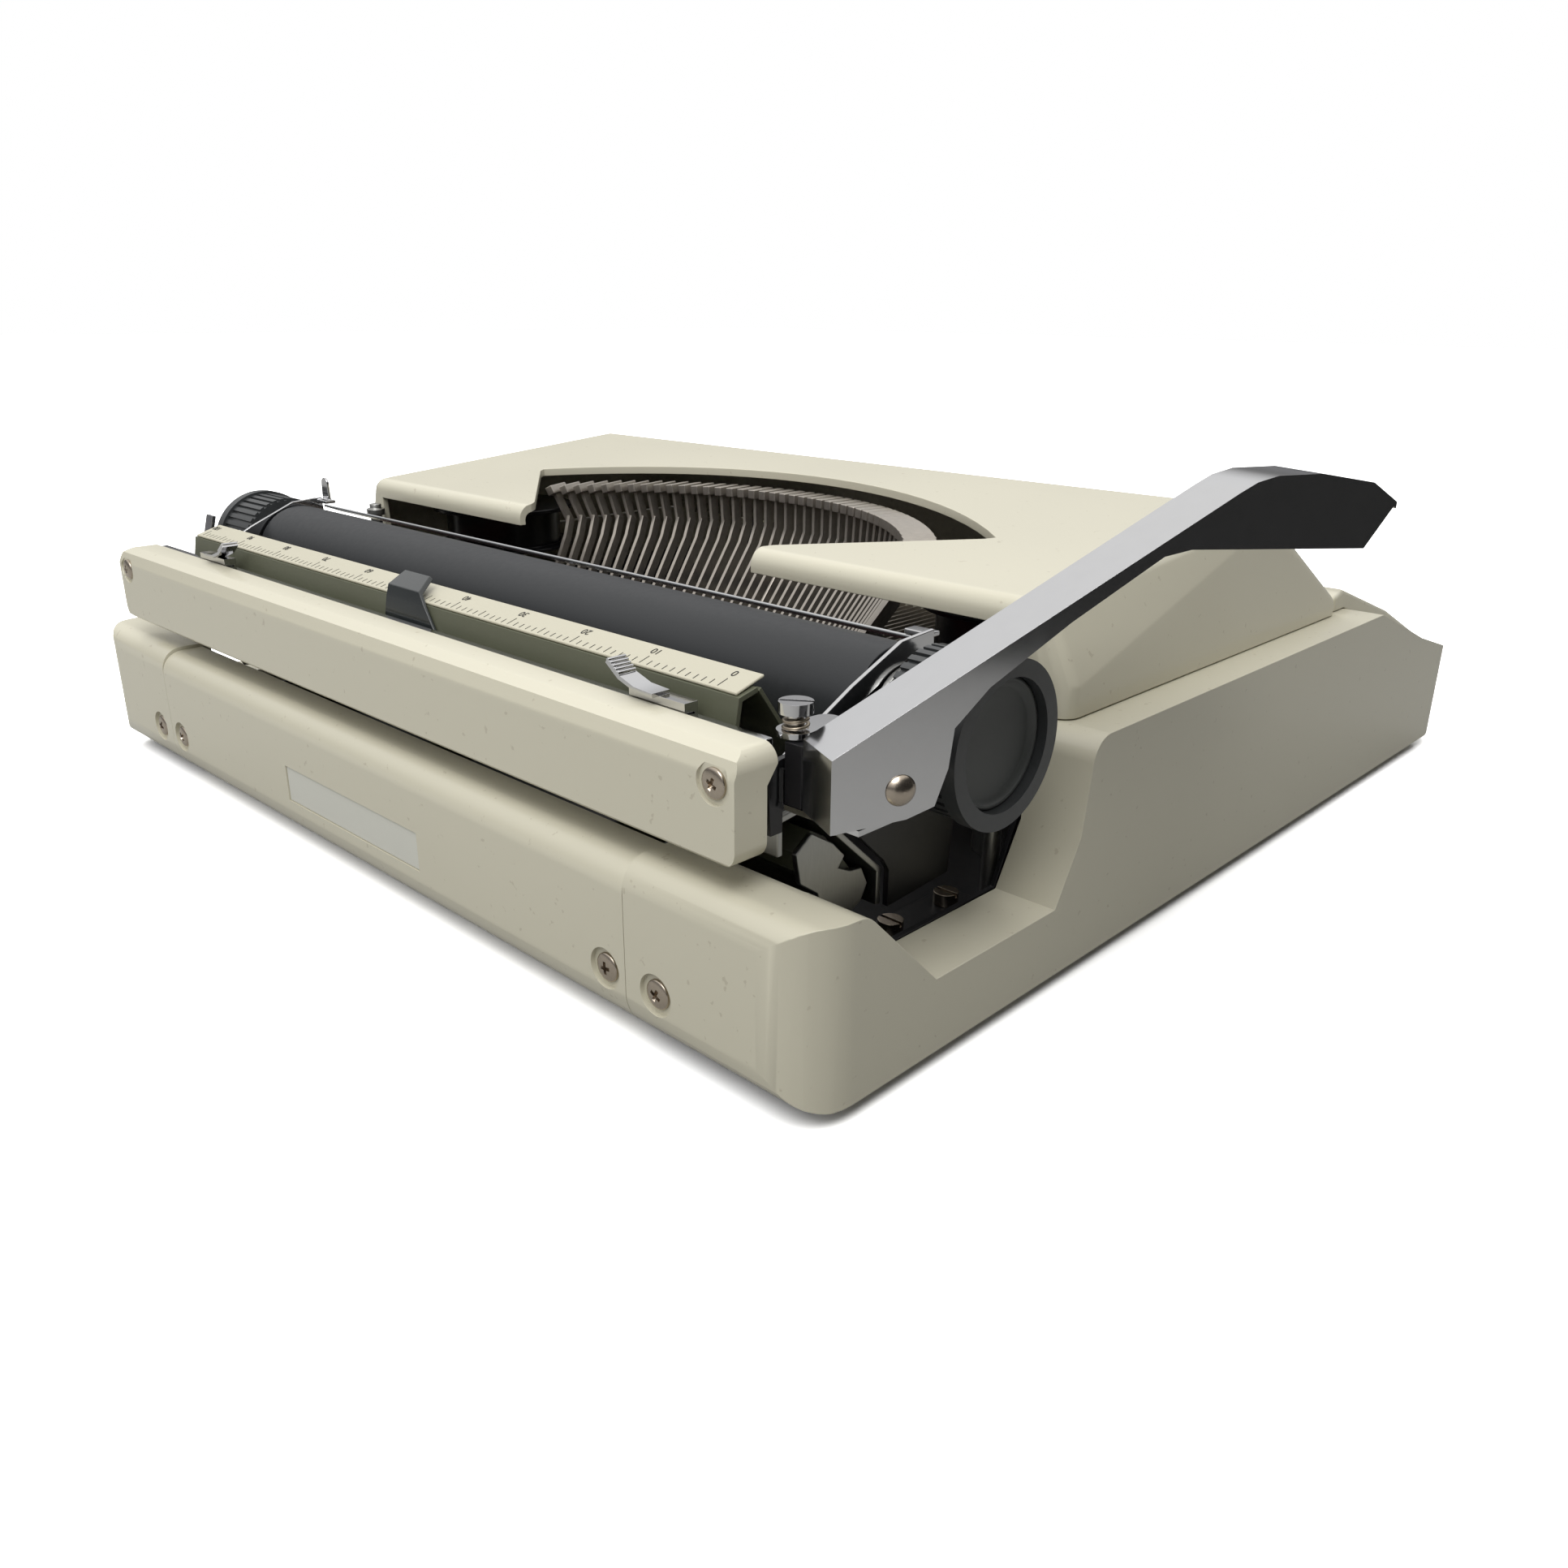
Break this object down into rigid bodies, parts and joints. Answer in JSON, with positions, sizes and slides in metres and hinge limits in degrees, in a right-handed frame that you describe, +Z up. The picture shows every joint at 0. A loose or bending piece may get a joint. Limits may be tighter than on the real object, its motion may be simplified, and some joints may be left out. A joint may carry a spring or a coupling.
{
  "type": "portable typewriter",
  "caption": "Flat manual portable typewriter with a lift-off ribbon cover, sliding carriage, rubber platen with ribbed knobs, chrome return lever and a full keyboard.",
  "frame": {"origin": "centre of the bottom plate's underside; the rubber feet reach 4 mm lower", "axes": "+Z up, +X to the typist's right along the platen, -Y towards the typist"},
  "size_m": [0.3945, 0.36, 0.1245],
  "materials": {
    "cream_enamel": "gloss",
    "olive_enamel": "satin",
    "black_steel": "satin",
    "label": "matte",
    "cream_scale": "satin",
    "nickel": "polished",
    "zinc": "brushed",
    "chrome": "polished",
    "typebar_steel": "satin",
    "bail_aluminium": "satin",
    "brass": "satin",
    "platen_rubber": "satin",
    "foot_rubber": "matte",
    "knob_plastic": "gloss",
    "black_plastic": "gloss",
    "dark_keys": "satin",
    "grey_keys": "satin",
    "dark_guide": "gloss",
    "ribbon_cloth": "woven"
  },
  "bodies": {
    "base": {"base_shell": "cream_enamel", "rear_panel": "cream_enamel", "label_plate": "label", "panel_screws": "nickel", "bottom_plate": "black_steel", "rubber_feet": "foot_rubber", "inner_frame": "black_steel", "frame_screws": "nickel", "carriage_rail": "olive_enamel", "rail_end_plates": "zinc", "typebar_segment": "black_steel", "typebars": "typebar_steel", "type_slugs": "typebar_steel", "typebar_rest": "black_steel", "ribbon_guide": "chrome", "ribbon_posts": "zinc", "ribbon": "ribbon_cloth", "keyboard_cowl": "cream_enamel", "key_levers": "typebar_steel", "bell": "nickel"},
    "cover": {"ribbon_cover": "cream_enamel"},
    "typebar": {"live_typebar": "typebar_steel"},
    "spool_left": {"ribbon_spool_left": "black_plastic"},
    "spool_right": {"ribbon_spool_right": "black_plastic"},
    "keys_1": {"key_row_1": "dark_keys"},
    "keys_2": {"key_row_2": "dark_keys"},
    "keys_3": {"key_row_3": "dark_keys"},
    "keys_4": {"key_row_4": "dark_keys"},
    "key_letter": {"letter_key": "dark_keys"},
    "key_space": {"space_bar": "dark_keys"},
    "key_shift_left": {"shift_left": "grey_keys"},
    "key_shift_right": {"shift_right": "grey_keys"},
    "key_shift_lock": {"shift_lock": "grey_keys"},
    "key_backspace": {"backspace": "grey_keys"},
    "key_margin_release": {"margin_release": "grey_keys"},
    "selector": {"ribbon_selector": "grey_keys"},
    "drum": {"mainspring_drum": "zinc"},
    "escapement": {"escapement_wheel": "brass"},
    "carriage": {"carriage_plates": "black_steel", "carriage_truck": "zinc", "carriage_cover": "cream_enamel", "cover_screws": "nickel", "paper_table": "olive_enamel", "margin_scale": "cream_scale", "margin_rail": "chrome", "lever_bracket": "chrome"},
    "stop_left": {"margin_stop_left": "chrome"},
    "stop_right": {"margin_stop_right": "chrome"},
    "guide": {"paper_guide": "dark_guide"},
    "platen": {"platen": "platen_rubber", "knob_left": "knob_plastic", "knob_right": "knob_plastic", "platen_ratchet": "zinc"},
    "feed": {"feed_rollers": "platen_rubber"},
    "bail": {"bail_bar": "bail_aluminium", "bail_arms": "chrome"},
    "release_paper": {"paper_release": "chrome"},
    "release_carriage": {"carriage_release": "chrome"},
    "lever": {"return_lever": "chrome", "lever_rivet": "nickel"}
  },
  "joints": [
    {"name": "cover_lift", "type": "slide", "parent": "base", "child": "cover", "axis": [0, 0, 1], "range_m": [0, 0.15]},
    {"name": "typebar_swing", "type": "hinge", "parent": "base", "child": "typebar", "pos_m": [0, 0.0361, 0.0255], "axis": [-1, 0, 0], "range_deg": [0, 90]},
    {"name": "spool_left_turn", "type": "hinge", "parent": "base", "child": "spool_left", "pos_m": [-0.122, 0.04, 0.068], "axis": [0, 0, 1], "continuous": true},
    {"name": "spool_right_turn", "type": "hinge", "parent": "base", "child": "spool_right", "pos_m": [0.122, 0.04, 0.068], "axis": [0, 0, 1], "continuous": true},
    {"name": "key_row_1_press", "type": "slide", "parent": "base", "child": "keys_1", "axis": [0, 0, -1], "range_m": [0, 0.006], "stiffness_N_per_m": 200, "springref_m": -0.004},
    {"name": "key_row_2_press", "type": "slide", "parent": "base", "child": "keys_2", "axis": [0, 0, -1], "range_m": [0, 0.006], "stiffness_N_per_m": 200, "springref_m": -0.004},
    {"name": "key_row_3_press", "type": "slide", "parent": "base", "child": "keys_3", "axis": [0, 0, -1], "range_m": [0, 0.006], "stiffness_N_per_m": 200, "springref_m": -0.004},
    {"name": "key_row_4_press", "type": "slide", "parent": "base", "child": "keys_4", "axis": [0, 0, -1], "range_m": [0, 0.006], "stiffness_N_per_m": 200, "springref_m": -0.004},
    {"name": "letter_key_press", "type": "slide", "parent": "base", "child": "key_letter", "axis": [0, 0, -1], "range_m": [0, 0.006], "stiffness_N_per_m": 60, "springref_m": -0.004},
    {"name": "space_bar_press", "type": "slide", "parent": "base", "child": "key_space", "axis": [0, 0, -1], "range_m": [0, 0.006], "stiffness_N_per_m": 100, "springref_m": -0.004},
    {"name": "shift_left_press", "type": "slide", "parent": "base", "child": "key_shift_left", "axis": [0, 0, -1], "range_m": [0, 0.006], "stiffness_N_per_m": 100, "springref_m": -0.004},
    {"name": "shift_right_press", "type": "slide", "parent": "base", "child": "key_shift_right", "axis": [0, 0, -1], "range_m": [0, 0.006], "stiffness_N_per_m": 100, "springref_m": -0.004},
    {"name": "shift_lock_press", "type": "slide", "parent": "base", "child": "key_shift_lock", "axis": [0, 0, -1], "range_m": [0, 0.006], "stiffness_N_per_m": 60, "springref_m": -0.004},
    {"name": "backspace_press", "type": "slide", "parent": "base", "child": "key_backspace", "axis": [0, 0, -1], "range_m": [0, 0.006], "stiffness_N_per_m": 60, "springref_m": -0.004},
    {"name": "margin_release_press", "type": "slide", "parent": "base", "child": "key_margin_release", "axis": [0, 0, -1], "range_m": [0, 0.006], "stiffness_N_per_m": 60, "springref_m": -0.004},
    {"name": "selector_slide", "type": "slide", "parent": "base", "child": "selector", "axis": [0, 1, 0], "range_m": [-0.003, 0.003]},
    {"name": "carriage_slide", "type": "slide", "parent": "base", "child": "carriage", "axis": [1, 0, 0], "range_m": [-0.127, 0.127]},
    {"name": "drum_turn", "type": "hinge", "parent": "base", "child": "drum", "pos_m": [-0.094, 0.138, 0.008], "axis": [0, 0, 1], "range_deg": [-380, 380]},
    {"name": "escapement_turn", "type": "hinge", "parent": "base", "child": "escapement", "pos_m": [0, 0.135, 0.008], "axis": [0, 1, 0], "range_deg": [-1250, 1250]},
    {"name": "margin_stop_left_slide", "type": "slide", "parent": "carriage", "child": "stop_left", "axis": [1, 0, 0], "range_m": [-0.02, 0.08]},
    {"name": "margin_stop_right_slide", "type": "slide", "parent": "carriage", "child": "stop_right", "axis": [1, 0, 0], "range_m": [-0.06, 0.02]},
    {"name": "paper_guide_slide", "type": "slide", "parent": "carriage", "child": "guide", "axis": [1, 0, 0], "range_m": [-0.05, 0.02]},
    {"name": "platen_turn", "type": "hinge", "parent": "carriage", "child": "platen", "pos_m": [0, 0.116, 0.064], "axis": [1, 0, 0], "continuous": true},
    {"name": "feed_roller_turn", "type": "hinge", "parent": "carriage", "child": "feed", "pos_m": [0, 0.11167, 0.04365], "axis": [1, 0, 0], "continuous": true},
    {"name": "bail_swing", "type": "hinge", "parent": "carriage", "child": "bail", "pos_m": [0, 0.152, 0.0626], "axis": [-1, 0, 0], "range_deg": [0, 40]},
    {"name": "paper_release_swing", "type": "hinge", "parent": "carriage", "child": "release_paper", "pos_m": [0, 0.15, 0.058], "axis": [1, 0, 0], "range_deg": [0, 12]},
    {"name": "carriage_release_press", "type": "slide", "parent": "carriage", "child": "release_carriage", "axis": [0, 0, -1], "range_m": [0, 0.004], "stiffness_N_per_m": 100, "springref_m": -0.003},
    {"name": "return_lever_swing", "type": "hinge", "parent": "carriage", "child": "lever", "pos_m": [-0.1648, 0.1562, 0.065], "axis": [0, 0, 1], "range_deg": [0, 30], "stiffness_Nm_per_rad": 0.4, "springref_deg": -17.19}
  ],
  "couplings": [
    {"joint": "typebar_swing", "follows": "letter_key_press", "rad_per_m": 261.79},
    {"joint": "shift_right_press", "follows": "shift_left_press", "ratio": 1},
    {"joint": "feed_roller_turn", "follows": "platen_turn", "ratio": -4.125},
    {"joint": "drum_turn", "follows": "carriage_slide", "rad_per_m": 50},
    {"joint": "escapement_turn", "follows": "carriage_slide", "rad_per_m": 156}
  ]
}
